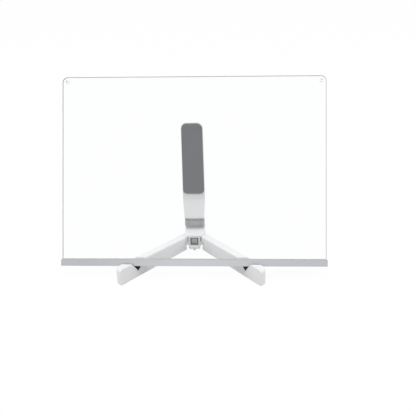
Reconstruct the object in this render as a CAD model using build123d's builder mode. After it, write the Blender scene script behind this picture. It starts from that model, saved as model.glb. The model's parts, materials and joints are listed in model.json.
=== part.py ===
import os
from math import cos, radians, sin, tan

from build123d import *

# LED message board on a folding tripod stand, in millimetres, +Z up, seen from -Y.
# The origin is on the floor under the middle of the hub, where its rear foot stands.

# Driving sizes: the board
board_lean = 30
board_shift = 2.5
sheet_width = 297
sheet_height = 210
sheet_thickness = 4
sheet_corner = 6
corner_hole_radius = 1.5
corner_hole_inset = 5.5

bar_overhang = 1
bar_height = 7.6
bar_depth = 8
bar_wall = 1.2
bar_edge = 0.5
sheet_grip = 4.4
grip_strip_clearance = 0.1
grip_strip_lip = 0.7
end_cap_thickness = 0.8
end_plug_length = 5
end_plug_clearance = 0.15

led_board_thickness = 0.8
led_board_width = 4.6
led_size = 2
led_height = 0.7
led_pitch = 12
resistor_length = 1.6
resistor_width = 0.8
resistor_height = 0.5

control_length = 46
control_depth = 11
control_height = 7.4
control_wall = 1
control_end_distance = 34.5
control_edge = 1
circuit_thickness = 1
circuit_clearance = 0.4
circuit_standoff = 0.2
inlet_width = 9
inlet_height = 3.2
inlet_wall = 0.4
inlet_depth = 6.5
inlet_offset_x = 12
power_button_radius = 2
power_button_clearance = 0.15
power_button_proud = 0.9
power_button_travel = 0.6
power_button_flange = 0.7
power_button_offset_x = -10

# Driving sizes: the legs
leg_spread = 42.2
leg_width = 9.2
leg_reach = 103.5
leg_bottom = 0.3
leg_hub_top = 17.3
leg_tip_top = 21
leg_edge = 1.3
leg_lower_start = 2
nose_radius = 4.8
nose_lower_radius = 2.6
nose_outer_radius = 3.5
leg_wall = 1.6
leg_roof = 2.4
leg_pocket_start = 9
leg_pocket_end = 60
leg_cover_thickness = 1.6
leg_cover_clearance = 0.1
leg_boss_radius = 2.4
leg_boss_inset = 6
pivot_x = 11.5
pivot_y = -7
pivot_pin_radius = 1.5
pivot_pin_top = 14.4
running_clearance = 0.06
pivot_clearance = 0.2

notch_setback = 16.4
notch_bottom = 8
notch_front_angle = 63
notch_back_angle = 54
notch_pad_thickness = 1.5
notch_pad_proud = 0.5
notch_rim = 0.6
notch_top_margin = 1.4
bar_seat_clearance = 0.15
foot_pad_length = 11
foot_pad_width = 5.4
foot_pad_thickness = 1.3
foot_pad_end_gap = 5

# Driving sizes: the hub
hub_half_width = 11.6
hub_top = 20.2
hub_plate_thickness = 2.6
hub_front = -12
hub_shoulder = -6
hub_block_half_width = 6.7
hub_underside = 5.2
hub_rear = 15.5
hub_edge = 0.8
hub_cover_thickness = 2.8
hub_cover_inset = 0.8
hub_lip = 1.2
hub_pocket_half_width = 6
hub_pocket_top = 15
hub_pocket_wall = 2
flange_bottom = 6.5
flange_top = 10.5
flange_radius = 4
flange_clearance = 0.3
hub_foot_width = 10
hub_foot_length = 16
hub_foot_recess = 0.6
hub_tab_width = 2.7
hub_tab_bottom = 0.3

window_width = 9.3
window_height = 10
window_middle = 12
window_depth = 1.4
window_frame_recess = 0.3
window_frame_clearance = 0.1
lock_width = 6.6
lock_height = 7.6
lock_length = 6
lock_recess = 0.5
lock_clearance = 0.2
lock_thumb_radius = 3
lock_thumb_depth = 0.8
lock_travel = 1.5
lock_chamber_end = -0.6
lock_spring_radius = 2
lock_spring_wire = 0.3
lock_spring_pitch = 1.1
lock_spring_gap = 0.2

# Driving sizes: the arm
arm_lean = 5.1
hinge_y = 7.2
hinge_z = 28
hinge_radius = 5.3
hinge_pin_radius = 1.6
hinge_ear_half_width = 11.3
hinge_ear_thickness = 4.4
hinge_neck_back = 0.6
tongue_side_gap = 0.3
washer_thickness = 0.2
washer_radius = 4.2
arm_top_half_width = 12.2
arm_pad_half_width = 12.7
arm_knee_half_width = 11.4
arm_face = 3.4
arm_back = 4.2
arm_band_height = 29.5
arm_knee_height = 9.4
arm_knee_forward = 7.3
arm_foot_height = 6.3
arm_knee_radius = 1.8
arm_corner = 7
arm_top_slope = 4.5
arm_edge = 0.8
arm_split = 1.6
arm_wall = 1.5
arm_boss_radius = 2.4
arm_boss_inset = 9
arm_cover_start = 16
arm_cover_end_gap = 7
arm_hollow_front = 0.2
pad_bottom = 38
pad_thickness = 3.2
pad_proud = 1.3
pad_inset = 0.45
pad_nose_radius = 2.8
pad_lower_corner = 5
pad_gap = 0.2

screw_radius = 1
screw_head_radius = 1.8
screw_head_height = 1.2
screw_drive_radius = 0.8
screw_drive_depth = 0.7

os.makedirs("parts", exist_ok=True)


def finish_piece(builder, name):
    builder.part.label = name
    export_step(builder.part, f"parts/{name}.step")


# The notch: two walls of rubber that meet on a line along X, set back from the tips of the legs
spread = radians(leg_spread)
notch_y = pivot_y - leg_reach * cos(spread) + notch_setback
notch_angle_sum = sin(radians(notch_front_angle + notch_back_angle))


def notch_apex(offset):
    """The bottom of the V when both of its walls are moved outwards by offset."""
    front = radians(notch_front_angle)
    back = radians(notch_back_angle)
    y = notch_y + offset * (cos(front) - cos(back)) / notch_angle_sum
    z = notch_bottom - offset * (sin(front) + sin(back)) / notch_angle_sum
    return y, z


def notch_outline(offset):
    """The open V as a triangle that reaches past the top of the leg."""
    y, z = notch_apex(offset)
    rise = 2 * leg_tip_top
    front_top = (y - rise / tan(radians(notch_front_angle)), z + rise)
    back_top = (y + rise / tan(radians(notch_back_angle)), z + rise)
    return [(y, z), back_top, front_top]


# The bar leans in the V with its two lower corners on the two walls
lean = radians(board_lean)
back_corner_run = bar_depth * sin(radians(notch_front_angle) - lean) / notch_angle_sum
front_corner_run = bar_depth * sin(radians(notch_back_angle) + lean) / notch_angle_sum
seat_y, seat_z = notch_apex(-bar_seat_clearance)
back_corner_y = seat_y + back_corner_run * cos(radians(notch_back_angle))
back_corner_z = seat_z + back_corner_run * sin(radians(notch_back_angle))
front_corner_y = seat_y - front_corner_run * cos(radians(notch_front_angle))
front_corner_z = seat_z + front_corner_run * sin(radians(notch_front_angle))
board_y = (back_corner_y + front_corner_y) / 2
board_z = (back_corner_z + front_corner_z) / 2

# Board plane: x along the bar, y up the sheet, z out of its front. The bar isn't held sideways
# in the notches, and lies a little to the right of the stand's middle.
board_plane = Plane(
    origin=(board_shift, board_y, board_z),
    x_dir=(1, 0, 0),
    z_dir=(0, -cos(lean), sin(lean)),
)
board_up = Axis((0, 0, 0), (0, sin(lean), cos(lean)))
board_front = Axis((0, 0, 0), (0, -cos(lean), sin(lean)))

sheet_bottom = bar_height - sheet_grip
sheet_top = sheet_bottom + sheet_height
bar_length = sheet_width + 2 * bar_overhang
slot_length = bar_length - 2 * end_cap_thickness
slot_depth = bar_depth - 2 * bar_wall
led_board_length = slot_length - 2 * end_plug_length
control_back = -bar_depth / 2 - control_depth
control_middle_z = -bar_depth / 2 - control_depth / 2
control_base = (bar_height - control_height) / 2
control_middle_y = bar_height / 2
control_centre_x = bar_length / 2 - control_end_distance

# Clear sheet with two rounded upper corners and a small hole in each
with BuildPart(board_plane) as acrylic_sheet:
    with Locations((0, sheet_bottom + sheet_height / 2, 0)):
        Box(sheet_width, sheet_height, sheet_thickness)
    upper_corners = acrylic_sheet.edges().filter_by(board_front).group_by(board_up)[-1]
    fillet(upper_corners, sheet_corner)
    hole_y = sheet_top - corner_hole_inset
    hole_x = sheet_width / 2 - corner_hole_inset
    with Locations((-hole_x, hole_y, sheet_thickness / 2), (hole_x, hole_y, sheet_thickness / 2)):
        Hole(corner_hole_radius, sheet_thickness)
finish_piece(acrylic_sheet, "acrylic_sheet")

# Light bar: a U channel, open upwards, that the sheet stands in
with BuildPart(board_plane) as light_bar_channel:
    with Locations((0, bar_height / 2, 0)):
        Box(slot_length, bar_height, bar_depth)
    outer_edges = light_bar_channel.edges().filter_by(Axis.X)
    fillet(outer_edges, bar_edge)
    with Locations((0, bar_wall, 0)):
        Box(
            slot_length,
            bar_height,
            slot_depth,
            align=(Align.CENTER, Align.MIN, Align.CENTER),
            mode=Mode.SUBTRACT,
        )
finish_piece(light_bar_channel, "light_bar_channel")

# A cap closes each end, and the sheet stands on the cap's plug inside the channel
plug_height = sheet_bottom - bar_wall - grip_strip_clearance
plug_depth = slot_depth - 2 * end_plug_clearance
for side, name in ((-1, "end_cap_left"), (1, "end_cap_right")):
    cap_x = side * (slot_length + end_cap_thickness) / 2
    plug_x = side * (slot_length - end_plug_length) / 2
    with BuildPart(board_plane) as end_cap:
        with Locations((cap_x, bar_height / 2, 0)):
            Box(end_cap_thickness, bar_height, bar_depth)
        fillet(end_cap.edges().filter_by(Axis.X), bar_edge)
        with Locations((plug_x, bar_wall, 0)):
            Box(end_plug_length, plug_height, plug_depth, align=(Align.CENTER, Align.MIN, Align.CENTER))
    finish_piece(end_cap, name)

# Two soft strips inside the walls hold the sheet upright, and show as a pale lip above the bar
grip_strip_thickness = (slot_depth - sheet_thickness) / 2 - grip_strip_clearance
grip_strip_bottom = sheet_bottom
grip_strip_height = bar_height + grip_strip_lip - grip_strip_bottom
for side, name in ((1, "grip_strip_front"), (-1, "grip_strip_back")):
    strip_z = side * (slot_depth - grip_strip_thickness) / 2
    with BuildPart(board_plane) as grip_strip:
        with Locations((0, grip_strip_bottom + grip_strip_height / 2, strip_z)):
            Box(slot_length, grip_strip_height, grip_strip_thickness)
    finish_piece(grip_strip, name)

# LED strip on the channel's floor, shining up into the edge of the sheet
with BuildPart(board_plane) as led_strip_board:
    with Locations((0, bar_wall + led_board_thickness / 2, 0)):
        Box(led_board_length, led_board_thickness, led_board_width)
finish_piece(led_strip_board, "led_strip_board")

led_count = int(led_board_length // led_pitch)
led_bottom = bar_wall + led_board_thickness
with BuildPart(board_plane) as led_chips:
    for number in range(led_count):
        led_x = (number - (led_count - 1) / 2) * led_pitch
        with Locations((led_x, led_bottom + led_height / 2, 0)):
            Box(led_size, led_height, led_size)
finish_piece(led_chips, "led_chips")

with BuildPart(board_plane) as strip_resistors:
    for number in range(1, led_count - 1, 3):
        resistor_x = (number - (led_count - 1) / 2 + 0.5) * led_pitch
        with Locations((resistor_x, led_bottom + resistor_height / 2, 0)):
            Box(resistor_length, resistor_height, resistor_width)
finish_piece(strip_resistors, "strip_resistors")

# Control housing on the back of the bar, open towards the bar's back wall
circuit_y = control_base + control_wall + circuit_standoff
inlet_x = control_centre_x + inlet_offset_x
inlet_y = circuit_y + circuit_thickness + inlet_height / 2 + inlet_wall
inlet_outer_width = inlet_width + 2 * inlet_wall
inlet_outer_height = inlet_height + 2 * inlet_wall
power_button_x = control_centre_x + power_button_offset_x
power_button_y = bar_height / 2
control_inner_back = control_back + control_wall
with BuildPart(board_plane) as control_housing:
    with Locations((control_centre_x, control_middle_y, control_middle_z)):
        Box(control_length, control_height, control_depth)
    rear_corners = control_housing.faces().sort_by(board_front)[0].edges()
    fillet(rear_corners, control_edge)
    with Locations((control_centre_x, control_middle_y, control_middle_z + control_wall)):
        Box(
            control_length - 2 * control_wall,
            control_height - 2 * control_wall,
            control_depth,
            mode=Mode.SUBTRACT,
        )
    with BuildSketch(board_plane.offset(control_back)):
        with Locations((inlet_x, inlet_y)):
            SlotOverall(inlet_outer_width, inlet_outer_height)
        with Locations((power_button_x, power_button_y)):
            Circle(power_button_radius + power_button_clearance)
    extrude(amount=control_wall, mode=Mode.SUBTRACT)
finish_piece(control_housing, "control_housing")

switch_back = control_inner_back + 2 * power_button_clearance + power_button_flange + power_button_travel
switch_depth = -bar_depth / 2 - circuit_clearance - switch_back
circuit_length = control_length - 2 * control_wall - 2 * circuit_clearance
circuit_z = switch_back + switch_depth / 2
with BuildPart(board_plane) as control_board:
    with Locations((control_centre_x, circuit_y + circuit_thickness / 2, circuit_z)):
        Box(circuit_length, circuit_thickness, switch_depth)
finish_piece(control_board, "control_board")

# Power socket: a rounded metal sleeve with a contact tongue inside
with BuildPart(board_plane) as power_inlet:
    with BuildSketch(board_plane.offset(control_back)):
        with Locations((inlet_x, inlet_y)):
            SlotOverall(inlet_outer_width, inlet_outer_height)
    extrude(amount=inlet_depth)
    with BuildSketch(board_plane.offset(control_back)):
        with Locations((inlet_x, inlet_y)):
            SlotOverall(inlet_width, inlet_height)
    extrude(amount=inlet_depth - inlet_wall, mode=Mode.SUBTRACT)
    with Locations((inlet_x, inlet_y, control_back + inlet_depth / 2 + inlet_wall)):
        Box(inlet_width - inlet_height, inlet_height / 4, inlet_depth - 2 * inlet_wall)
finish_piece(power_inlet, "power_inlet")

# Power button, pressed from behind against its switch
with BuildPart(board_plane) as power_button:
    with BuildSketch(board_plane.offset(control_back - power_button_proud)):
        with Locations((power_button_x, power_button_y)):
            Circle(power_button_radius)
    extrude(amount=power_button_proud + control_wall + power_button_clearance)
    cap_rim = power_button.faces().sort_by(board_front)[0].edges()
    fillet(cap_rim, power_button_proud / 3)
    with BuildSketch(board_plane.offset(control_inner_back + power_button_clearance)):
        with Locations((power_button_x, power_button_y)):
            Circle(power_button_radius + power_button_flange / 2)
    extrude(amount=power_button_flange)
finish_piece(power_button, "power_button")

switch_bottom = circuit_y + circuit_thickness
switch_height = control_base + control_height - control_wall - circuit_clearance - switch_bottom
with BuildPart(board_plane) as power_switch:
    with Locations((power_button_x, switch_bottom + switch_height / 2, switch_back + switch_depth / 2)):
        Box(2 * power_button_radius, switch_height, switch_depth)
finish_piece(power_switch, "power_switch")

# Legs: the right one is built, and the left one is its mirror image.
# Leg plane: x along the leg from its pivot, y up, z towards the middle of the stand.
leg_direction = (sin(spread), -cos(spread), 0)
leg_inward = (-cos(spread), -sin(spread), 0)
leg_plane = Plane(origin=(pivot_x, pivot_y, 0), x_dir=leg_direction, z_dir=leg_inward)
leg_floor_plane = Plane(origin=(pivot_x, pivot_y, 0), x_dir=leg_direction, z_dir=(0, 0, 1))
leg_axis = Axis((0, 0, 0), leg_direction)
leg_half_width = leg_width / 2
leg_rise = (leg_tip_top - leg_hub_top) / (leg_reach + leg_half_width)


def leg_top(distance):
    return leg_hub_top + leg_rise * (distance + leg_half_width)


def leg_profile(shrink):
    """Corners of the leg's side view, lowered by shrink at its top."""
    return [
        (-leg_half_width, leg_bottom),
        (leg_reach, leg_bottom),
        (leg_reach, leg_top(leg_reach) - shrink),
        (-leg_half_width, leg_top(-leg_half_width) - shrink),
    ]


def leg_plan(margin):
    """Plan of the leg: a strip with a round end at its pivot."""
    half = leg_half_width - margin
    Circle(half)
    with Locations(((leg_reach - margin) / 2, 0)):
        Rectangle(leg_reach - margin, 2 * half)


boss_positions = (leg_pocket_start + leg_boss_inset, leg_pocket_end - leg_boss_inset)
pocket_middle = (leg_pocket_start + leg_pocket_end) / 2
pocket_length = leg_pocket_end - leg_pocket_start
pocket_half_width = leg_half_width - leg_wall
pocket_roof = leg_top(leg_pocket_start) - leg_roof
cover_top = leg_bottom + leg_cover_thickness

with BuildPart() as notch_pad_envelope:
    with BuildSketch(leg_plane):
        with BuildLine():
            Polyline(*leg_profile(notch_top_margin), close=True)
        make_face()
    extrude(amount=leg_half_width - notch_rim, both=True)

with BuildPart() as notch_pad_blank:
    with BuildSketch(Plane.YZ):
        with BuildLine():
            Polyline(*notch_outline(notch_pad_thickness), close=True)
        make_face()
        with BuildLine():
            Polyline(*notch_outline(0), close=True)
        make_face(mode=Mode.SUBTRACT)
    extrude(amount=leg_reach)
    add(notch_pad_envelope.part, mode=Mode.INTERSECT)

with BuildPart() as right_leg_shell:
    with BuildSketch(leg_plane):
        with BuildLine():
            Polyline(*leg_profile(0), close=True)
        make_face()
    extrude(amount=leg_half_width, both=True)
    with BuildSketch(leg_floor_plane):
        leg_plan(0)
    extrude(amount=2 * leg_tip_top, mode=Mode.INTERSECT)
    top_edges = right_leg_shell.faces().sort_by(Axis.Z)[-1].edges()
    fillet(top_edges.sort_by(leg_axis)[:-1], leg_edge)
    # The tip is rounded seen from its side, and its outer corner seen from above
    with BuildSketch(leg_plane) as leg_side:
        with BuildLine():
            Polyline(*leg_profile(0), close=True)
        make_face()
        lower_corner, upper_corner = leg_side.vertices().group_by(Axis.X)[-1].sort_by(Axis.Y)
        fillet(upper_corner, nose_radius)
        fillet(lower_corner, nose_lower_radius)
    extrude(amount=leg_half_width, both=True, mode=Mode.INTERSECT)
    with BuildSketch(leg_floor_plane) as leg_outline:
        leg_plan(0)
        outer_corner = leg_outline.vertices().group_by(Axis.X)[-1].sort_by(Axis.Y)[-1]
        fillet(outer_corner, nose_outer_radius)
    extrude(amount=2 * leg_tip_top, mode=Mode.INTERSECT)
    with BuildSketch(Plane.YZ):
        with BuildLine():
            Polyline(*notch_outline(notch_pad_proud), close=True)
        make_face()
    extrude(amount=leg_reach, mode=Mode.SUBTRACT)
    add(notch_pad_blank.part, mode=Mode.SUBTRACT)
    # The leg turns above the hub's flange: its slot, the shorter part below it, and the pin's bore
    with BuildSketch(leg_floor_plane.offset(flange_bottom - flange_clearance)):
        with Locations((-leg_half_width, 0)):
            Rectangle(
                leg_half_width + flange_radius + flange_clearance,
                2 * leg_width,
                align=(Align.MIN, Align.CENTER),
            )
    extrude(amount=flange_top - flange_bottom + 2 * flange_clearance, mode=Mode.SUBTRACT)
    with BuildSketch(leg_floor_plane.offset(leg_bottom)):
        with Locations((-leg_half_width, 0)):
            Rectangle(leg_half_width + leg_lower_start, 2 * leg_width, align=(Align.MIN, Align.CENTER))
    extrude(amount=flange_bottom - leg_bottom, mode=Mode.SUBTRACT)
    with BuildSketch(leg_floor_plane.offset(flange_top)):
        Circle(pivot_pin_radius + running_clearance)
    extrude(amount=pivot_pin_top + running_clearance - flange_top, mode=Mode.SUBTRACT)
    # Hollow underside with two screw bosses
    with BuildSketch(leg_floor_plane.offset(leg_bottom)):
        with Locations((pocket_middle, 0)):
            RectangleRounded(pocket_length, 2 * pocket_half_width, leg_wall)
    extrude(amount=pocket_roof - leg_bottom, mode=Mode.SUBTRACT)
    with BuildSketch(leg_floor_plane.offset(cover_top)):
        with Locations(*[(distance, 0) for distance in boss_positions]):
            Circle(leg_boss_radius)
    extrude(amount=pocket_roof - cover_top)
    with BuildSketch(leg_floor_plane.offset(cover_top)):
        with Locations(*[(distance, 0) for distance in boss_positions]):
            Circle(screw_radius)
    extrude(amount=(pocket_roof - cover_top) / 2, mode=Mode.SUBTRACT)
    # Recess for the rubber foot
    foot_pad_x = leg_reach - foot_pad_end_gap - foot_pad_length / 2
    with BuildSketch(leg_floor_plane.offset(leg_bottom)):
        with Locations((foot_pad_x, 0)):
            RectangleRounded(foot_pad_length, foot_pad_width, foot_pad_width / 3)
    extrude(amount=foot_pad_thickness - leg_bottom, mode=Mode.SUBTRACT)

with BuildPart() as right_leg_cover:
    with BuildSketch(leg_floor_plane.offset(leg_bottom)):
        with Locations((pocket_middle, 0)):
            RectangleRounded(
                pocket_length - 2 * leg_cover_clearance,
                2 * (pocket_half_width - leg_cover_clearance),
                leg_wall - leg_cover_clearance,
            )
    extrude(amount=leg_cover_thickness)
    with BuildSketch(leg_floor_plane.offset(leg_bottom)):
        with Locations(*[(distance, 0) for distance in boss_positions]):
            Circle(screw_head_radius)
    extrude(amount=screw_head_height, mode=Mode.SUBTRACT)
    with BuildSketch(leg_floor_plane.offset(leg_bottom)):
        with Locations(*[(distance, 0) for distance in boss_positions]):
            Circle(screw_radius)
    extrude(amount=leg_cover_thickness, mode=Mode.SUBTRACT)

with BuildPart() as right_leg_screws:
    with BuildSketch(leg_floor_plane.offset(leg_bottom)):
        with Locations(*[(distance, 0) for distance in boss_positions]):
            Circle(screw_head_radius)
    extrude(amount=screw_head_height)
    with BuildSketch(leg_floor_plane.offset(leg_bottom + screw_head_height)):
        with Locations(*[(distance, 0) for distance in boss_positions]):
            Circle(screw_radius)
    extrude(amount=(pocket_roof - cover_top) / 2)
    with BuildSketch(leg_floor_plane.offset(leg_bottom)):
        with Locations(*[(distance, 0) for distance in boss_positions]):
            RegularPolygon(screw_drive_radius, 6)
    extrude(amount=screw_drive_depth, mode=Mode.SUBTRACT)

with BuildPart() as right_leg_foot:
    with BuildSketch(leg_floor_plane):
        with Locations((foot_pad_x, 0)):
            RectangleRounded(foot_pad_length, foot_pad_width, foot_pad_width / 3)
    extrude(amount=foot_pad_thickness)

with BuildPart() as pivot_pin_right:
    with BuildSketch(leg_floor_plane.offset(flange_bottom)):
        Circle(pivot_pin_radius)
    extrude(amount=pivot_pin_top - flange_bottom)

mirrored_pairs = (
    (right_leg_shell, "leg_shell"),
    (right_leg_cover, "leg_cover"),
    (right_leg_screws, "leg_screws"),
    (right_leg_foot, "leg_foot"),
    (notch_pad_blank, "notch_pad"),
    (pivot_pin_right, "leg_pivot_pin"),
)
for right_piece, name in mirrored_pairs:
    with BuildPart() as left_piece:
        mirror(right_piece.part, about=Plane.YZ)
    finish_piece(right_piece, f"{name}_right")
    finish_piece(left_piece, f"{name}_left")

# Hub: a block between the legs, a cap over them, and two ears for the arm's hinge
plate_bottom = hub_top - hub_plate_thickness
rear_block_front = pivot_y + leg_half_width + 2 * pivot_clearance
ear_inner = hinge_ear_half_width - hinge_ear_thickness
with BuildPart() as hub_body:
    with BuildSketch(Plane.XY.offset(plate_bottom)):
        with BuildLine():
            Polyline(
                (hub_half_width, hub_rear),
                (hub_half_width, hub_shoulder),
                (hub_block_half_width, hub_front),
                (-hub_block_half_width, hub_front),
                (-hub_half_width, hub_shoulder),
                (-hub_half_width, hub_rear),
                close=True,
            )
        make_face()
    extrude(amount=hub_plate_thickness)
    with BuildSketch(Plane.XY.offset(hub_underside)):
        with Locations((0, (hub_front + hub_rear) / 2)):
            Rectangle(2 * hub_block_half_width, hub_rear - hub_front)
        with Locations((0, (rear_block_front + hub_rear) / 2)):
            Rectangle(2 * hub_half_width, hub_rear - rear_block_front)
    extrude(amount=plate_bottom - hub_underside)
    upright_edges = hub_body.edges().filter_by(Axis.Z)
    fillet(upright_edges.sort_by(Axis.Y)[-2:], 3 * hub_edge)
    fillet(hub_body.faces().sort_by(Axis.Z)[-1].edges(), hub_edge)
    # Flanges that the legs turn on
    with BuildSketch(Plane.XY.offset(flange_bottom)):
        with Locations((-pivot_x, pivot_y), (pivot_x, pivot_y)):
            Circle(flange_radius)
        with Locations((0, pivot_y)):
            Rectangle(2 * pivot_x, 2 * flange_radius)
        with Locations((-pivot_x, pivot_y), (pivot_x, pivot_y)):
            Circle(pivot_pin_radius, mode=Mode.SUBTRACT)
    extrude(amount=flange_top - flange_bottom)
    # Ears of the arm's hinge, and a low ridge between them
    for ear_x in (-hinge_ear_half_width, ear_inner):
        with BuildSketch(Plane.YZ.offset(ear_x)):
            with Locations((hinge_y, hinge_z)):
                Circle(hinge_radius)
            with Locations((hinge_y + hinge_neck_back, plate_bottom)):
                Rectangle(
                    hinge_radius - hinge_neck_back,
                    hinge_z - plate_bottom,
                    align=(Align.MIN, Align.MIN),
                )
        extrude(amount=hinge_ear_thickness)
    with BuildSketch(Plane.XY.offset(plate_bottom)):
        with Locations((0, hinge_y + hinge_neck_back)):
            Rectangle(2 * ear_inner, hinge_radius - hinge_neck_back, align=(Align.CENTER, Align.MIN))
    extrude(amount=hinge_z - hinge_radius - 2 * pivot_clearance - plate_bottom)
    with BuildSketch(Plane.YZ):
        with Locations((hinge_y, hinge_z)):
            Circle(hinge_pin_radius)
    extrude(amount=hub_half_width, both=True, mode=Mode.SUBTRACT)
    # Window in the front, and behind it the chamber of the lock button
    with BuildSketch(Plane.XZ.offset(-hub_front)):
        with Locations((0, window_middle)):
            RectangleRounded(window_width, window_height, hub_edge)
    extrude(amount=-window_depth, mode=Mode.SUBTRACT)
    with BuildSketch(Plane.XZ.offset(-hub_front)):
        with Locations((0, window_middle)):
            RectangleRounded(lock_width + 2 * lock_clearance, lock_height + 2 * lock_clearance, hub_edge)
    extrude(amount=hub_front - lock_chamber_end, mode=Mode.SUBTRACT)
    # Hollow of the rear block
    with BuildSketch(Plane.XY.offset(hub_underside)):
        pocket_front = lock_chamber_end + hub_pocket_wall
        pocket_rear = hub_rear - hub_pocket_wall
        with Locations((0, (pocket_front + pocket_rear) / 2)):
            RectangleRounded(2 * hub_pocket_half_width, pocket_rear - pocket_front, hub_edge)
    extrude(amount=hub_pocket_top - hub_underside, mode=Mode.SUBTRACT)
    hub_screw_x = (hub_pocket_half_width + hub_half_width) / 2
    hub_screw_places = [
        (-hub_screw_x, rear_block_front + 2 * screw_head_radius),
        (hub_screw_x, rear_block_front + 2 * screw_head_radius),
        (-hub_screw_x, hub_rear - 2 * screw_head_radius),
        (hub_screw_x, hub_rear - 2 * screw_head_radius),
    ]
    with BuildSketch(Plane.XY.offset(hub_underside)):
        with Locations(*hub_screw_places):
            Circle(screw_radius)
    extrude(amount=(plate_bottom - hub_underside) / 2, mode=Mode.SUBTRACT)
finish_piece(hub_body, "hub_body")

# Bottom cover with a small tab at the front
hub_cover_bottom = hub_underside - hub_cover_thickness
with BuildPart() as hub_cover:
    with BuildSketch(Plane.XY.offset(hub_cover_bottom)):
        cover_front = hub_front - hub_lip
        with Locations((0, cover_front)):
            Rectangle(
                2 * hub_block_half_width,
                hub_rear - 3 * hub_cover_inset - cover_front,
                align=(Align.CENTER, Align.MIN),
            )
        with Locations((0, rear_block_front + hub_cover_inset)):
            Rectangle(
                2 * (hub_half_width - hub_cover_inset),
                hub_rear - rear_block_front - 2 * hub_cover_inset,
                align=(Align.CENTER, Align.MIN),
            )
    extrude(amount=hub_cover_thickness)
    fillet(hub_cover.edges().filter_by(Axis.Z).sort_by(Axis.Y)[:2], 2 * hub_edge)
    lip_edge = hub_cover.edges().filter_by(Axis.X).group_by(Axis.Y)[0].sort_by(Axis.Z)[-1]
    fillet(lip_edge, hub_lip - running_clearance)
    with BuildSketch(Plane.XY.offset(hub_cover_bottom)):
        with Locations(*hub_screw_places):
            Circle(screw_head_radius)
    extrude(amount=screw_head_height, mode=Mode.SUBTRACT)
    with BuildSketch(Plane.XY.offset(hub_cover_bottom)):
        with Locations(*hub_screw_places):
            Circle(screw_radius)
    extrude(amount=hub_cover_thickness, mode=Mode.SUBTRACT)
    with BuildSketch(Plane.XY.offset(hub_tab_bottom)):
        with Locations((0, cover_front)):
            Rectangle(hub_tab_width, hub_tab_width, align=(Align.CENTER, Align.MIN))
    extrude(amount=hub_cover_bottom - hub_tab_bottom)
    hub_foot_y = hub_rear - 2 * hub_cover_inset - hub_foot_length / 2
    with BuildSketch(Plane.XY.offset(hub_cover_bottom)):
        with Locations((0, hub_foot_y)):
            RectangleRounded(hub_foot_width, hub_foot_length, 2 * hub_edge)
    extrude(amount=hub_foot_recess, mode=Mode.SUBTRACT)
finish_piece(hub_cover, "hub_cover")

with BuildPart() as hub_screws:
    with BuildSketch(Plane.XY.offset(hub_cover_bottom)):
        with Locations(*hub_screw_places):
            Circle(screw_head_radius)
    extrude(amount=screw_head_height)
    with BuildSketch(Plane.XY.offset(hub_cover_bottom + screw_head_height)):
        with Locations(*hub_screw_places):
            Circle(screw_radius)
    extrude(amount=hub_cover_thickness + (plate_bottom - hub_underside) / 2 - 2 * screw_head_height)
    with BuildSketch(Plane.XY.offset(hub_cover_bottom)):
        with Locations(*hub_screw_places):
            RegularPolygon(screw_drive_radius, 6)
    extrude(amount=screw_drive_depth, mode=Mode.SUBTRACT)
finish_piece(hub_screws, "hub_screws")

with BuildPart() as hub_foot:
    with BuildSketch(Plane.XY):
        with Locations((0, hub_foot_y)):
            RectangleRounded(hub_foot_width, hub_foot_length, 2 * hub_edge)
    extrude(amount=hub_cover_bottom + hub_foot_recess)
finish_piece(hub_foot, "hub_foot")

# Dark frame around the window
frame_width = window_width - 2 * window_frame_clearance
frame_height = window_height - 2 * window_frame_clearance
with BuildPart() as window_frame:
    with BuildSketch(Plane.XZ.offset(-hub_front - window_frame_recess)):
        with Locations((0, window_middle)):
            RectangleRounded(frame_width, frame_height, hub_edge - window_frame_clearance)
            RectangleRounded(
                lock_width + 2 * lock_clearance,
                lock_height + 2 * lock_clearance,
                hub_edge,
                mode=Mode.SUBTRACT,
            )
    extrude(amount=window_frame_recess - window_depth)
finish_piece(window_frame, "window_frame")

# Lock button in the window, hollow behind, with its return spring inside
lock_front = hub_front + lock_recess
lock_back = lock_front + lock_length
lock_bore_depth = lock_length / 2 + lock_travel / 2
with BuildPart() as lock_button:
    with BuildSketch(Plane.XZ.offset(-lock_front)):
        with Locations((0, window_middle)):
            RectangleRounded(lock_width, lock_height, hub_edge / 2)
    extrude(amount=-lock_length)
    with BuildSketch(Plane.XZ.offset(-lock_back)):
        with Locations((0, window_middle)):
            Circle(lock_spring_radius + lock_spring_wire + lock_clearance)
    extrude(amount=lock_bore_depth, mode=Mode.SUBTRACT)
    fillet(lock_button.faces().sort_by(Axis.Y)[0].edges(), lock_recess / 2)
    with BuildSketch(Plane.XZ.offset(-lock_front)):
        with Locations((0, window_middle - lock_height / 2)):
            Circle(lock_thumb_radius)
    extrude(amount=-lock_thumb_depth, mode=Mode.SUBTRACT)
finish_piece(lock_button, "lock_button")

spring_start = lock_back - lock_bore_depth + lock_travel + lock_spring_gap + lock_spring_wire
spring_end = lock_chamber_end - lock_spring_wire
with BuildPart() as lock_spring:
    with BuildLine() as spring_path:
        Helix(
            lock_spring_pitch,
            spring_end - spring_start,
            lock_spring_radius,
            center=(0, spring_start, window_middle),
            direction=(0, 1, 0),
        )
    with BuildSketch(Plane(origin=spring_path.line @ 0, z_dir=spring_path.line % 0)):
        Circle(lock_spring_wire)
    sweep()
finish_piece(lock_spring, "lock_spring")

# Hinge pin through ears and tongue, and a friction washer on each side
with BuildPart() as arm_hinge_pin:
    with BuildSketch(Plane.YZ):
        with Locations((hinge_y, hinge_z)):
            Circle(hinge_pin_radius)
    extrude(amount=hinge_ear_half_width - hub_edge / 2, both=True)
finish_piece(arm_hinge_pin, "arm_hinge_pin")

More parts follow.
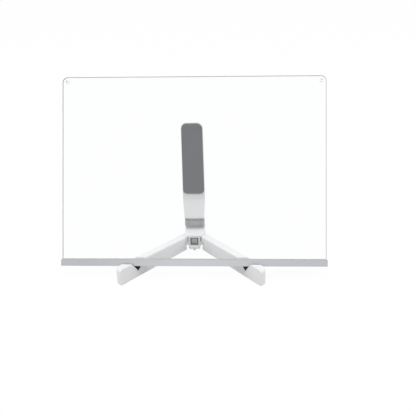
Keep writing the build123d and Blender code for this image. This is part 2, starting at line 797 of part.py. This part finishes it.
washer_gap = (tongue_side_gap - washer_thickness) / 2
with BuildPart() as hinge_washers:
    for washer_x in (ear_inner - washer_gap - washer_thickness, -ear_inner + washer_gap):
        with BuildSketch(Plane.YZ.offset(washer_x)):
            with Locations((hinge_y, hinge_z)):
                Circle(washer_radius)
                Circle(hinge_pin_radius + running_clearance, mode=Mode.SUBTRACT)
        extrude(amount=washer_thickness)
finish_piece(hinge_washers, "hinge_washers")

# Arm plane: x across, y up the arm from its hinge, z out of its front
tilt = radians(arm_lean)
arm_plane = Plane(origin=(0, hinge_y, hinge_z), x_dir=(1, 0, 0), z_dir=(0, -cos(tilt), sin(tilt)))
arm_side_plane = Plane(origin=(0, hinge_y, hinge_z), x_dir=(0, -cos(tilt), sin(tilt)), z_dir=(-1, 0, 0))
arm_front = Axis((0, 0, 0), (0, -cos(tilt), sin(tilt)))

# The round upper end of the pad stands just clear of the back of the sheet
pad_face = arm_face + pad_proud
pad_back = pad_face - pad_thickness
pad_centre_forward = pad_face - pad_nose_radius
sheet_back = sheet_thickness / 2 + pad_nose_radius + pad_gap
hinge_behind_board = (hinge_y - board_y) * cos(lean) - (hinge_z - board_z) * sin(lean)
pad_centre_run = hinge_behind_board - sheet_back - pad_centre_forward * cos(lean - tilt)
pad_centre_height = pad_centre_run / sin(lean - tilt)
arm_top = pad_centre_height + pad_nose_radius

# Rear cover, let into the back of the arm, over a hollow with screw bosses
cover_low = arm_cover_start
cover_high = arm_top - arm_cover_end_gap
cover_middle = (cover_low + cover_high) / 2
cover_half_width = arm_top_half_width - arm_wall
cover_inner = -arm_back + arm_split
arm_boss_heights = (cover_low + arm_boss_inset, cover_middle, cover_high - arm_boss_inset)
tongue_half_width = ear_inner - tongue_side_gap

with BuildSketch() as arm_outline:
    with BuildLine():
        Polyline(
            (arm_top_half_width, arm_top),
            (arm_pad_half_width, pad_bottom),
            (arm_pad_half_width, arm_band_height),
            (arm_knee_half_width, arm_knee_height),
            (arm_knee_half_width, arm_foot_height),
            (-arm_knee_half_width, arm_foot_height),
            (-arm_knee_half_width, arm_knee_height),
            (-arm_pad_half_width, arm_band_height),
            (-arm_pad_half_width, pad_bottom),
            (-arm_top_half_width, arm_top),
            close=True,
        )
    make_face()
    fillet(arm_outline.vertices().group_by(Axis.Y)[-1], arm_corner)

with BuildSketch() as pad_outline:
    with BuildLine():
        Polyline(
            (arm_top_half_width - pad_inset, arm_top - pad_inset),
            (arm_pad_half_width - pad_inset, pad_bottom),
            (pad_inset - arm_pad_half_width, pad_bottom),
            (pad_inset - arm_top_half_width, arm_top - pad_inset),
            close=True,
        )
    make_face()
    fillet(pad_outline.vertices().group_by(Axis.Y)[-1], arm_corner - pad_inset)
    fillet(pad_outline.vertices().group_by(Axis.Y)[0], pad_lower_corner)

with BuildPart() as arm_shell:
    with BuildSketch(arm_side_plane):
        with BuildLine():
            Polyline(
                (arm_face, arm_top),
                (arm_face, arm_band_height),
                (arm_knee_forward, arm_knee_height),
                (arm_knee_forward, arm_foot_height),
                (-arm_back, arm_foot_height),
                (-arm_back, arm_top),
                close=True,
            )
        make_face()
    extrude(amount=arm_pad_half_width, both=True)
    fillet(arm_shell.edges().filter_by(Axis.X).group_by(arm_front)[-1], arm_knee_radius)
    with BuildSketch(arm_plane.offset(-arm_back)):
        add(arm_outline.sketch)
    extrude(amount=arm_back + arm_knee_forward, mode=Mode.INTERSECT)
    fillet(arm_shell.faces().sort_by(arm_front)[0].edges(), arm_edge)
    # The upper end is rounded over with the pad, and slopes away behind it
    with BuildSketch(arm_side_plane) as nose_sketch:
        with BuildLine():
            Polyline(
                (pad_face, arm_top),
                (pad_face, arm_band_height),
                (arm_knee_forward, arm_band_height),
                (arm_knee_forward, 0),
                (-arm_back, 0),
                (-arm_back, arm_top - arm_top_slope),
                (pad_back, arm_top),
                close=True,
            )
        make_face()
        fillet(nose_sketch.vertices().group_by(Axis.Y)[-1].sort_by(Axis.X)[-1], pad_nose_radius)
    extrude(amount=arm_pad_half_width, both=True, mode=Mode.INTERSECT)
    # Tongue between the ears of the hub
    with BuildSketch(arm_side_plane):
        Circle(hinge_radius)
        with Locations((0, arm_foot_height / 2)):
            Rectangle(2 * arm_back, arm_foot_height + arm_edge)
    extrude(amount=tongue_half_width, both=True)
    with BuildSketch(arm_side_plane):
        Circle(hinge_pin_radius + running_clearance)
    extrude(amount=tongue_half_width, both=True, mode=Mode.SUBTRACT)
    # Seat of the pad
    with BuildSketch(arm_plane.offset(pad_back)):
        add(pad_outline.sketch)
    extrude(amount=pad_thickness, mode=Mode.SUBTRACT)
    # Seat of the rear cover, and the hollow under it
    with BuildSketch(arm_plane.offset(-arm_back)):
        with Locations((0, cover_middle)):
            RectangleRounded(2 * cover_half_width, cover_high - cover_low, arm_corner - arm_wall)
    extrude(amount=arm_split, mode=Mode.SUBTRACT)
    with BuildSketch(arm_plane.offset(cover_inner)):
        with Locations((0, cover_middle)):
            RectangleRounded(
                2 * (cover_half_width - arm_wall),
                cover_high - cover_low - 2 * arm_wall,
                arm_corner - 2 * arm_wall,
            )
    extrude(amount=arm_hollow_front - cover_inner, mode=Mode.SUBTRACT)
    with BuildSketch(arm_plane.offset(cover_inner)):
        with Locations(*[(0, height) for height in arm_boss_heights]):
            Circle(arm_boss_radius)
            Circle(screw_radius, mode=Mode.SUBTRACT)
    extrude(amount=arm_hollow_front - cover_inner)
finish_piece(arm_shell, "arm_shell")

with BuildPart() as arm_cover:
    with BuildSketch(arm_plane.offset(-arm_back)):
        with Locations((0, cover_middle)):
            RectangleRounded(
                2 * (cover_half_width - leg_cover_clearance),
                cover_high - cover_low - 2 * leg_cover_clearance,
                arm_corner - arm_wall - leg_cover_clearance,
            )
    extrude(amount=arm_split)
    with BuildSketch(arm_plane.offset(-arm_back)):
        with Locations(*[(0, height) for height in arm_boss_heights]):
            Circle(screw_head_radius)
    extrude(amount=screw_head_height, mode=Mode.SUBTRACT)
    with BuildSketch(arm_plane.offset(-arm_back)):
        with Locations(*[(0, height) for height in arm_boss_heights]):
            Circle(screw_radius)
    extrude(amount=arm_split, mode=Mode.SUBTRACT)
finish_piece(arm_cover, "arm_cover")

with BuildPart() as arm_screws:
    with BuildSketch(arm_plane.offset(-arm_back)):
        with Locations(*[(0, height) for height in arm_boss_heights]):
            Circle(screw_head_radius)
    extrude(amount=screw_head_height)
    with BuildSketch(arm_plane.offset(screw_head_height - arm_back)):
        with Locations(*[(0, height) for height in arm_boss_heights]):
            Circle(screw_radius)
    extrude(amount=arm_hollow_front + arm_back - 2 * screw_head_height)
    with BuildSketch(arm_plane.offset(-arm_back)):
        with Locations(*[(0, height) for height in arm_boss_heights]):
            RegularPolygon(screw_drive_radius, 6)
    extrude(amount=screw_drive_depth, mode=Mode.SUBTRACT)
finish_piece(arm_screws, "arm_screws")

# Soft grey pad on the arm's front, round at its upper end
with BuildPart() as arm_pad:
    with BuildSketch(arm_plane.offset(pad_back)):
        add(pad_outline.sketch)
    extrude(amount=pad_thickness)
    with BuildSketch(arm_side_plane) as pad_nose:
        with BuildLine():
            Polyline((pad_face, arm_top), (pad_face, 0), (pad_back, 0), (pad_back, arm_top), close=True)
        make_face()
        fillet(pad_nose.vertices().group_by(Axis.Y)[-1].sort_by(Axis.X)[-1], pad_nose_radius)
    extrude(amount=arm_pad_half_width, both=True, mode=Mode.INTERSECT)
finish_piece(arm_pad, "arm_pad")
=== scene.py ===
import json

import bmesh
import bpy
from mathutils import Matrix, Vector


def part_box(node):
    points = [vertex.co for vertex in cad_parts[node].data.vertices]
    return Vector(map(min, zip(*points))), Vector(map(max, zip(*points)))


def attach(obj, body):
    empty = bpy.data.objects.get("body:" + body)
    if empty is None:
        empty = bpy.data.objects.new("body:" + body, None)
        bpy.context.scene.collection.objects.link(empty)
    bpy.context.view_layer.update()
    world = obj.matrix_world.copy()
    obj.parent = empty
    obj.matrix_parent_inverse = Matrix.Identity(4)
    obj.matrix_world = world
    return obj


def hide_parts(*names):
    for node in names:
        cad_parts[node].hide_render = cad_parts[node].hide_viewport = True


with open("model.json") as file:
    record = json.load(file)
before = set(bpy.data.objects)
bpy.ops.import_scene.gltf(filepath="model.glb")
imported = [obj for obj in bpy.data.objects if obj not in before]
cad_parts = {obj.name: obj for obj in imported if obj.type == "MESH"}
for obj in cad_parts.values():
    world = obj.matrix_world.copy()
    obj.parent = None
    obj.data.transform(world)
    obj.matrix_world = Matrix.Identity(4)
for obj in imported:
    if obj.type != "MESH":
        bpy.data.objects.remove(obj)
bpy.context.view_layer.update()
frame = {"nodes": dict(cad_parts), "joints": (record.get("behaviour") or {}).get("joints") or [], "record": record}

nodes = frame["nodes"]
joints = {joint["name"]: joint for joint in frame["joints"]}
bodyOf = {node: body for body, members in frame["record"]["behaviour"]["bodies"].items() for node in members}
slotOf = {part["node"]: part["material_slot"] for part in frame["record"]["subparts"]}
acrossAxis = Vector((1, 0, 0))
boardUp = Vector(joints["sheet_slide"]["axis"]).normalized()
boardFront = acrossAxis.cross(boardUp).normalized()

# The stage, its light and the camera
view = {
    "distance": 1.0,  # camera to the sheet's middle layer, in metres
    "pixelsPerMetre": 890.0,  # how large a metre at the sheet shows in a frame of frameSize pixels
    "frameSize": 416,
    "sensor": 36.0,
    "right": 0.0162,  # aim point, right of the sheet's middle
    "down": 0.0429,  # aim point, below the sheet's middle
    "aside": 0.054,  # the lens stands this far to the right of the aim point
}
light = {
    "world": 0.68,  # ambient light on the object
    "lamps": {
        "overhead": {"place": (0.1, -0.3, 1.5), "size": 1.1, "power": 8.2},
        "leftSide": {"place": (-1.3, -0.15, 0.4), "size": 0.9, "power": 5.5},
        "rightSide": {"place": (1.3, -0.15, 0.4), "size": 0.9, "power": 4.7},
    },
    "floorThrow": (0.48, 0.48, 0.485, 1),  # the floor's tone for the light it throws back
    "floorSeen": (0.80, 0.80, 0.80, 1),  # its tone where it is seen
    "floorGlow": 0.94,  # share of the seen floor that glows white, the rest takes the shadow
    "glowStrength": 1.01,
    "floorReach": 6.0,
    "floorDrop": 0.0002,
}


def linked(name, data):
    thing = bpy.data.objects.new(name, data)
    bpy.context.scene.collection.objects.link(thing)
    return thing


def buildCamera():
    low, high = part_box("acrylic_sheet")
    aim = (low + high) / 2 + acrossAxis * view["right"] - boardUp * view["down"]
    reach = boardFront * view["distance"] + acrossAxis * view["aside"]
    back = reach.normalized()
    data = bpy.data.cameras.new("camera")
    data.sensor_width = view["sensor"]
    data.lens = view["pixelsPerMetre"] * reach.length * view["sensor"] / view["frameSize"]
    data.clip_start = 0.01
    camera = linked("camera", data)
    turn = Matrix((boardUp.cross(back), boardUp, back)).transposed().to_4x4()
    camera.matrix_world = Matrix.Translation(aim + reach) @ turn
    bpy.context.scene.camera = camera


def buildLamp(name, settings):
    data = bpy.data.lights.new(name, "AREA")
    data.shape = "DISK"
    data.size = settings["size"]
    data.energy = settings["power"]
    lamp = linked(name, data)
    lamp.location = settings["place"]
    lamp.rotation_euler = (-lamp.location).to_track_quat("-Z", "Y").to_euler()
    lamp.visible_glossy = False
    lamp.visible_transmission = False


# Gives 1 to what the camera, a reflection or a look through the sheet meets, and 0 to light on the object
def seenDirectly(tree):
    path = tree.nodes.new("ShaderNodeLightPath")
    best = path.outputs["Is Camera Ray"]
    for kind in ("Is Glossy Ray", "Is Transmission Ray"):
        larger = tree.nodes.new("ShaderNodeMath")
        larger.operation = "MAXIMUM"
        tree.links.new(best, larger.inputs[0])
        tree.links.new(path.outputs[kind], larger.inputs[1])
        best = larger.outputs[0]
    return best


def buildWorld():
    world = bpy.data.worlds.new("studio")
    bpy.context.scene.world = world
    world.use_nodes = True
    tree = world.node_tree
    background = tree.nodes["Background"]
    background.inputs["Color"].default_value = (1, 1, 1, 1)
    strength = tree.nodes.new("ShaderNodeMapRange")
    strength.inputs["To Min"].default_value = light["world"]
    tree.links.new(seenDirectly(tree), strength.inputs["Value"])
    tree.links.new(strength.outputs["Result"], background.inputs["Strength"])


def buildFloor():
    reach = light["floorReach"]
    corners = [(-reach, -reach, 0), (reach, -reach, 0), (reach, reach, 0), (-reach, reach, 0)]
    mesh = bpy.data.meshes.new("floor")
    mesh.from_pydata(corners, [], [(0, 1, 2, 3)])
    floor = linked("floor", mesh)
    floor.location.z = -light["floorDrop"]
    material = bpy.data.materials.new("paleFloor")
    material.use_nodes = True
    tree = material.node_tree
    tree.nodes.remove(tree.nodes["Principled BSDF"])
    diffuse = tree.nodes.new("ShaderNodeBsdfDiffuse")
    tone = tree.nodes.new("ShaderNodeMix")
    tone.data_type = "RGBA"
    tone.inputs["A"].default_value = light["floorThrow"]
    tone.inputs["B"].default_value = light["floorSeen"]
    glow = tree.nodes.new("ShaderNodeEmission")
    glow.inputs["Color"].default_value = (1, 1, 1, 1)
    glow.inputs["Strength"].default_value = light["glowStrength"]
    share = tree.nodes.new("ShaderNodeMath")
    share.operation = "MULTIPLY"
    share.inputs[1].default_value = light["floorGlow"]
    mix = tree.nodes.new("ShaderNodeMixShader")
    seen = seenDirectly(tree)
    tree.links.new(seen, tone.inputs["Factor"])
    tree.links.new(tone.outputs["Result"], diffuse.inputs["Color"])
    tree.links.new(seen, share.inputs[0])
    tree.links.new(share.outputs[0], mix.inputs["Fac"])
    tree.links.new(diffuse.outputs[0], mix.inputs[1])
    tree.links.new(glow.outputs[0], mix.inputs[2])
    tree.links.new(mix.outputs[0], tree.nodes["Material Output"].inputs["Surface"])
    mesh.materials.append(material)


bpy.context.scene.view_settings.view_transform = "Standard"
buildCamera()
for name, settings in light["lamps"].items():
    buildLamp(name, settings)
buildWorld()
buildFloor()
print("stage, light and camera are in place")


# Shader effects that several materials share
def newGroup(name, inputs, outputs):
    group = bpy.data.node_groups.new(name, "ShaderNodeTree")
    for label, value in inputs.items():
        group.interface.new_socket(label, in_out="INPUT", socket_type="NodeSocketFloat").default_value = value
    for label, kind in outputs.items():
        group.interface.new_socket(label, in_out="OUTPUT", socket_type=kind)
    return group, group.nodes.new("NodeGroupInput"), group.nodes.new("NodeGroupOutput")


# Normal of a surface with fine noise on it and its edges rounded by a radius,
# and a slow drift of tone from 0 to 1
def buildGrain(name, stretched):
    group, source, result = newGroup(
        name,
        {"Grain Scale": 2600.0, "Stretch": 1.0, "Depth": 0.00002, "Edge Radius": 0.0002, "Drift Scale": 30.0},
        {"Normal": "NodeSocketVector", "Grain": "NodeSocketFloat", "Drift": "NodeSocketFloat"},
    )
    add = group.nodes.new
    join = group.links.new
    place = add("ShaderNodeTexCoord").outputs["Object"]
    grain = add("ShaderNodeTexNoise")
    grain.inputs["Detail"].default_value = 3.0
    drift = add("ShaderNodeTexNoise")
    drift.inputs["Detail"].default_value = 2.0
    rounded = add("ShaderNodeBevel")
    rounded.samples = 4
    bump = add("ShaderNodeBump")
    if stretched:
        # scratches along the bar: the noise is squeezed in X only
        squeeze = add("ShaderNodeCombineXYZ")
        squeeze.inputs["Y"].default_value = 1.0
        squeeze.inputs["Z"].default_value = 1.0
        scaled = add("ShaderNodeVectorMath")
        scaled.operation = "MULTIPLY"
        join(source.outputs["Stretch"], squeeze.inputs["X"])
        join(place, scaled.inputs[0])
        join(squeeze.outputs[0], scaled.inputs[1])
        join(scaled.outputs[0], grain.inputs["Vector"])
    else:
        join(place, grain.inputs["Vector"])
    join(place, drift.inputs["Vector"])
    join(source.outputs["Grain Scale"], grain.inputs["Scale"])
    join(source.outputs["Drift Scale"], drift.inputs["Scale"])
    join(source.outputs["Edge Radius"], rounded.inputs["Radius"])
    join(source.outputs["Depth"], bump.inputs["Distance"])
    join(grain.outputs["Fac"], bump.inputs["Height"])
    join(rounded.outputs["Normal"], bump.inputs["Normal"])
    join(bump.outputs["Normal"], result.inputs["Normal"])
    join(grain.outputs["Fac"], result.inputs["Grain"])
    join(drift.outputs["Fac"], result.inputs["Drift"])
    return group


mouldGrain = buildGrain("mouldGrain", False)
brushedGrain = buildGrain("brushedGrain", True)


# 1 inside a tube around an axis along X, falling to 0 over a soft edge
def buildTube():
    group, source, result = newGroup(
        "tube", {"Y": 0.0, "Z": 0.0, "Radius": 0.005, "Softness": 0.0003}, {"Inside": "NodeSocketFloat"}
    )
    add = group.nodes.new
    join = group.links.new
    centre = add("ShaderNodeCombineXYZ")
    flat = add("ShaderNodeVectorMath")
    flat.operation = "MULTIPLY"
    flat.inputs[1].default_value = (0, 1, 1)
    away = add("ShaderNodeVectorMath")
    away.operation = "DISTANCE"
    outer = add("ShaderNodeMath")
    inside = add("ShaderNodeMapRange")
    inside.inputs["To Min"].default_value = 1.0
    inside.inputs["To Max"].default_value = 0.0
    join(source.outputs["Y"], centre.inputs["Y"])
    join(source.outputs["Z"], centre.inputs["Z"])
    join(add("ShaderNodeTexCoord").outputs["Object"], flat.inputs[0])
    join(flat.outputs[0], away.inputs[0])
    join(centre.outputs[0], away.inputs[1])
    join(source.outputs["Radius"], outer.inputs[0])
    join(source.outputs["Softness"], outer.inputs[1])
    join(away.outputs["Value"], inside.inputs["Value"])
    join(source.outputs["Radius"], inside.inputs["From Min"])
    join(outer.outputs[0], inside.inputs["From Max"])
    join(inside.outputs["Result"], result.inputs["Inside"])
    return group


# 1 in the middle of a piece that lies along X, falling slowly towards its ends
def buildMiddle():
    group, source, result = newGroup("middle", {"Reach": 0.1}, {"Middle": "NodeSocketFloat"})
    add = group.nodes.new
    join = group.links.new
    parts = add("ShaderNodeSeparateXYZ")
    size = add("ShaderNodeMath")
    size.operation = "ABSOLUTE"
    fade = add("ShaderNodeMapRange")
    fade.interpolation_type = "SMOOTHSTEP"
    fade.inputs["To Min"].default_value = 1.0
    fade.inputs["To Max"].default_value = 0.0
    join(add("ShaderNodeTexCoord").outputs["Object"], parts.inputs[0])
    join(parts.outputs["X"], size.inputs[0])
    join(size.outputs[0], fade.inputs["Value"])
    join(source.outputs["Reach"], fade.inputs["From Max"])
    join(fade.outputs["Result"], result.inputs["Middle"])
    return group


tube = buildTube()
middle = buildMiddle()


def newMaterial(name, values):
    material = bpy.data.materials.new(name)
    material.use_nodes = True
    shader = material.node_tree.nodes["Principled BSDF"]
    for label, value in values.items():
        shader.inputs[label].default_value = value
    return material, material.node_tree, shader


def addGroup(tree, group, values):
    node = tree.nodes.new("ShaderNodeGroup")
    node.node_tree = group
    for label, value in values.items():
        node.inputs[label].default_value = value
    return node


def addTones(tree, factor, dark, pale):
    mix = tree.nodes.new("ShaderNodeMix")
    mix.data_type = "RGBA"
    mix.inputs["A"].default_value = (*dark, 1)
    mix.inputs["B"].default_value = (*pale, 1)
    tree.links.new(factor, mix.inputs["Factor"])
    return mix.outputs["Result"]


def blendTone(tree, tone, mask, other):
    mix = tree.nodes.new("ShaderNodeMix")
    mix.data_type = "RGBA"
    mix.inputs["B"].default_value = (*other, 1)
    tree.links.new(mask, mix.inputs["Factor"])
    tree.links.new(tone, mix.inputs["A"])
    return mix.outputs["Result"]


def addRange(tree, factor, low, high):
    spread = tree.nodes.new("ShaderNodeMapRange")
    spread.inputs["To Min"].default_value = low
    spread.inputs["To Max"].default_value = high
    tree.links.new(factor, spread.inputs["Value"])
    return spread.outputs["Result"]


# One line per finish: its two tones, its roughness from and to, its grain and what else its shader needs
surfaces = {
    "white_plastic": {
        "dark": (0.81, 0.81, 0.82),
        "pale": (0.85, 0.85, 0.855),
        "rough": (0.38, 0.48),
        # painted shade on the barrel the arm folds about, inside a tube of this radius around its axis
        "hinge": {"tone": (0.40, 0.40, 0.42), "radius": 0.0069},
    },
    "cap_plastic": {"dark": (0.40, 0.40, 0.43), "pale": (0.46, 0.46, 0.49), "rough": (0.34, 0.44)},
    "grey_silicone": {
        "dark": (0.138, 0.141, 0.153),
        "pale": (0.160, 0.163, 0.176),
        "rough": (0.66, 0.78),
        "grain": {"Grain Scale": 1700.0, "Depth": 0.00003},
    },
    "black_rubber": {
        "dark": (0.018, 0.020, 0.023),
        "pale": (0.036, 0.039, 0.043),
        "rough": (0.70, 0.85),
        "grain": {"Grain Scale": 1500.0, "Depth": 0.00004},
    },
    "lock_grey": {"dark": (0.38, 0.385, 0.42), "pale": (0.43, 0.435, 0.47), "rough": (0.36, 0.46)},
    "clear_silicone": {
        "dark": (0.78, 0.79, 0.80),
        "pale": (0.86, 0.87, 0.88),
        "rough": (0.35, 0.50),
        "shader": {"Transmission Weight": 0.4, "IOR": 1.41},
    },
    "white_circuit": {"dark": (0.74, 0.75, 0.75), "pale": (0.80, 0.81, 0.81), "rough": (0.25, 0.35)},
    "circuit_board": {"dark": (0.012, 0.075, 0.030), "pale": (0.020, 0.110, 0.045), "rough": (0.25, 0.40)},
    "led_yellow": {
        "dark": (0.82, 0.62, 0.12),
        "pale": (0.90, 0.72, 0.20),
        "rough": (0.10, 0.20),
        "grain": {"Depth": 0.000004},
    },
    "black_component": {"dark": (0.018, 0.018, 0.020), "pale": (0.034, 0.034, 0.037), "rough": (0.40, 0.55)},
    "silver_aluminium": {
        "dark": (0.53, 0.535, 0.565),
        "pale": (0.56, 0.565, 0.595),
        # painted reflection: a paler tone in the middle of the bar
        "paintedSheen": {"tone": (0.61, 0.615, 0.64), "reach": 0.13},
        "rough": (0.32, 0.44),
        "brushed": True,
        "grain": {"Grain Scale": 5200.0, "Stretch": 0.008, "Depth": 0.000005, "Drift Scale": 12.0},
        "shader": {"Metallic": 1.0},
    },
    "steel": {
        "dark": (0.52, 0.52, 0.54),
        "pale": (0.58, 0.58, 0.60),
        "rough": (0.22, 0.36),
        "brushed": True,
        "grain": {"Grain Scale": 2600.0, "Stretch": 0.3, "Depth": 0.000005, "Edge Radius": 0.0001},
        "shader": {"Metallic": 1.0},
    },
}


def buildSurface(slot, settings):
    material, tree, shader = newMaterial(slot, settings.get("shader", {}))
    group = brushedGrain if settings.get("brushed") else mouldGrain
    grain = addGroup(tree, group, settings.get("grain", {}))
    tone = addTones(tree, grain.outputs["Drift"], settings["dark"], settings["pale"])
    rough = addRange(tree, grain.outputs["Grain"], *settings["rough"])
    if "hinge" in settings:
        # painted shade: the barrel the arm folds about is darkened to a grey tone, standing in for the shade under
        # the arm's knee
        place = joints["arm_fold"]["pos_m"]
        zone = {"Y": place[1], "Z": place[2], "Radius": settings["hinge"]["radius"]}
        mask = addGroup(tree, tube, zone).outputs["Inside"]
        tone = blendTone(tree, tone, mask, settings["hinge"]["tone"])
    if "paintedSheen" in settings:
        # painted reflection: a bar is a little paler in its middle, standing in for the light it reflects there
        zone = {"Reach": settings["paintedSheen"]["reach"]}
        mask = addGroup(tree, middle, zone).outputs["Middle"]
        tone = blendTone(tree, tone, mask, settings["paintedSheen"]["tone"])
    tree.links.new(tone, shader.inputs["Base Color"])
    tree.links.new(rough, shader.inputs["Roughness"])
    tree.links.new(grain.outputs["Normal"], shader.inputs["Normal"])
    return material


finishes = {slot: buildSurface(slot, settings) for slot, settings in surfaces.items()}

acrylic = {
    "colour": (0.985, 0.99, 0.99, 1),
    "edgeColour": (0.38, 0.40, 0.43),
    "edgePale": (0.42, 0.44, 0.47),
    "edgeRoughness": 0.28,
    "index": 1.49,
    "edgeClear": 0.1,  # share of light that passes the rim
    "edgeGrain": {"Grain Scale": 900.0, "Depth": 0.00001, "Edge Radius": 0.0001},
    "edgeRound": 0.00045,  # how far the sheet's rim is rounded, in metres
    "boreRound": 0.00018,
    "boreReach": 0.003,  # what lies this near the middle of a corner hole belongs to the hole
    "mergeWithin": 1e-6,  # corners this near are one, in metres
    "flatWithin": 0.002,  # faces that turn by less, in radians, are one
    "sharpAngle": 0.7,  # an edge that turns further than this, in radians, is rounded
    "flatFace": 0.98,  # a face that looks along the sheet's front by this much is one of its two large ones
    "wallFace": 0.1,  # and one that looks along it by less is a wall
}


# Light on the object passes the sheet, which only bends what is seen through it
def buildClear():
    material, tree, shader = newMaterial(
        "clearAcrylic",
        {
            "Base Color": acrylic["colour"],
            "Roughness": 0.0,
            "IOR": acrylic["index"],
            "Transmission Weight": 1.0,
        },
    )
    path = tree.nodes.new("ShaderNodeLightPath")
    passes = tree.nodes.new("ShaderNodeMath")
    passes.operation = "MAXIMUM"
    through = tree.nodes.new("ShaderNodeBsdfTransparent")
    mix = tree.nodes.new("ShaderNodeMixShader")
    tree.links.new(path.outputs["Is Shadow Ray"], passes.inputs[0])
    tree.links.new(path.outputs["Is Diffuse Ray"], passes.inputs[1])
    tree.links.new(passes.outputs[0], mix.inputs["Fac"])
    tree.links.new(shader.outputs[0], mix.inputs[1])
    tree.links.new(through.outputs[0], mix.inputs[2])
    tree.links.new(mix.outputs[0], tree.nodes["Material Output"].inputs["Surface"])
    return material


def buildEdge():
    material, tree, shader = newMaterial(
        "acrylicEdge",
        {
            "Roughness": acrylic["edgeRoughness"],
            "IOR": acrylic["index"],
            "Transmission Weight": acrylic["edgeClear"],
        },
    )
    grain = addGroup(tree, mouldGrain, acrylic["edgeGrain"])
    tone = addTones(tree, grain.outputs["Drift"], acrylic["edgeColour"], acrylic["edgePale"])
    tree.links.new(tone, shader.inputs["Base Color"])
    tree.links.new(grain.outputs["Normal"], shader.inputs["Normal"])
    return material


finishes["clear_acrylic"] = buildClear()
acrylicEdge = buildEdge()
print("materials are ready")

# Every CAD node takes the finish of its slot
for name, node in nodes.items():
    node.data.materials.clear()
    node.data.materials.append(finishes[slotOf[name]])


# A copy of a CAD node's mesh with its seams closed and its flat faces whole
def cleanCopy(name, label):
    work = bmesh.new()
    work.from_mesh(nodes[name].data)
    bmesh.ops.remove_doubles(work, verts=work.verts, dist=acrylic["mergeWithin"])
    bmesh.ops.dissolve_limit(work, angle_limit=acrylic["flatWithin"], verts=work.verts, edges=work.edges)
    mesh = bpy.data.meshes.new(label)
    work.to_mesh(mesh)
    work.free()
    return mesh


def finish(piece, body, slot, *replaced):
    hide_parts(*replaced)
    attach(piece, body)


# The sheet: its faces and holes are polished clear, and its rim is rounded and a little milky
def buildSheet():
    mesh = cleanCopy("acrylic_sheet", "clearSheet")
    sheet = linked("clearSheet", mesh)
    work = bmesh.new()
    work.from_mesh(mesh)
    work.normal_update()
    bores = [Vector(mount["pos_m"]) for mount in frame["record"]["mounts"] if mount["kind"] == "bore"]

    def nearBore(point):
        return any((point - bore).length < acrylic["boreReach"] for bore in bores)

    for width, atBore in ((acrylic["edgeRound"], False), (acrylic["boreRound"], True)):
        solid = [edge for edge in work.edges if edge.is_manifold]
        sharp = [edge for edge in solid if edge.calc_face_angle(0) > acrylic["sharpAngle"]]
        rims = [edge for edge in sharp if nearBore((edge.verts[0].co + edge.verts[1].co) / 2) == atBore]
        bmesh.ops.bevel(work, geom=rims, offset=width, segments=2, profile=0.5, affect="EDGES")
        work.normal_update()
    for face in work.faces:
        facing = abs(face.normal.dot(boardFront))
        boreWall = facing < acrylic["wallFace"] and nearBore(face.calc_center_median())
        polished = facing > acrylic["flatFace"] or boreWall
        face.material_index = 0 if polished else 1
        face.smooth = facing < acrylic["flatFace"]
    work.to_mesh(mesh)
    work.free()
    mesh.materials.append(finishes["clear_acrylic"])
    mesh.materials.append(acrylicEdge)
    finish(sheet, bodyOf["acrylic_sheet"], "clear_acrylic", "acrylic_sheet")


buildSheet()
print("the clear sheet is built")

bpy.context.view_layer.update()
